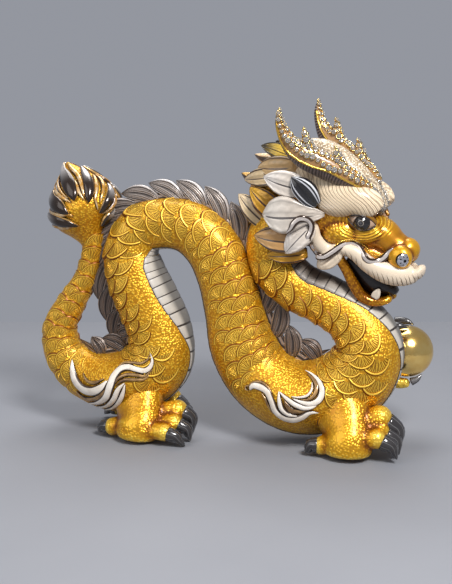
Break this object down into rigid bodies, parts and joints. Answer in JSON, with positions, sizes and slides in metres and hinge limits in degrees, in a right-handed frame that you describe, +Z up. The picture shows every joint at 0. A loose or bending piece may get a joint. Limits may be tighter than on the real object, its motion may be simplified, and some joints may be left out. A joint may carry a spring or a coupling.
{
  "type": "dragon sculpture",
  "caption": "Glazed ceramic dragon with a looping scaled body, standing on three clawed feet and holding a golden ball in its raised forepaw.",
  "frame": {"origin": "on the surface that the feet stand on, below the middle of the whole figure", "axes": "+Z up, +X the way the body faces, -Y the side with the standing foreleg"},
  "size_m": [0.2616, 0.091, 0.2196],
  "materials": {
    "amber_glaze": "pearly amber glaze over carved ceramic",
    "mirror_gold": "mirror gold lustre over glazed ceramic",
    "cream_glaze": "cream and white glaze with thin dark lines",
    "dark_glaze": "glossy gunmetal glaze",
    "crystal": "small clear faceted stones set in the antlers and brow"
  },
  "bodies": {
    "root": {"dragon": "amber_glaze", "pearl": "mirror_gold"}
  },
  "joints": []
}
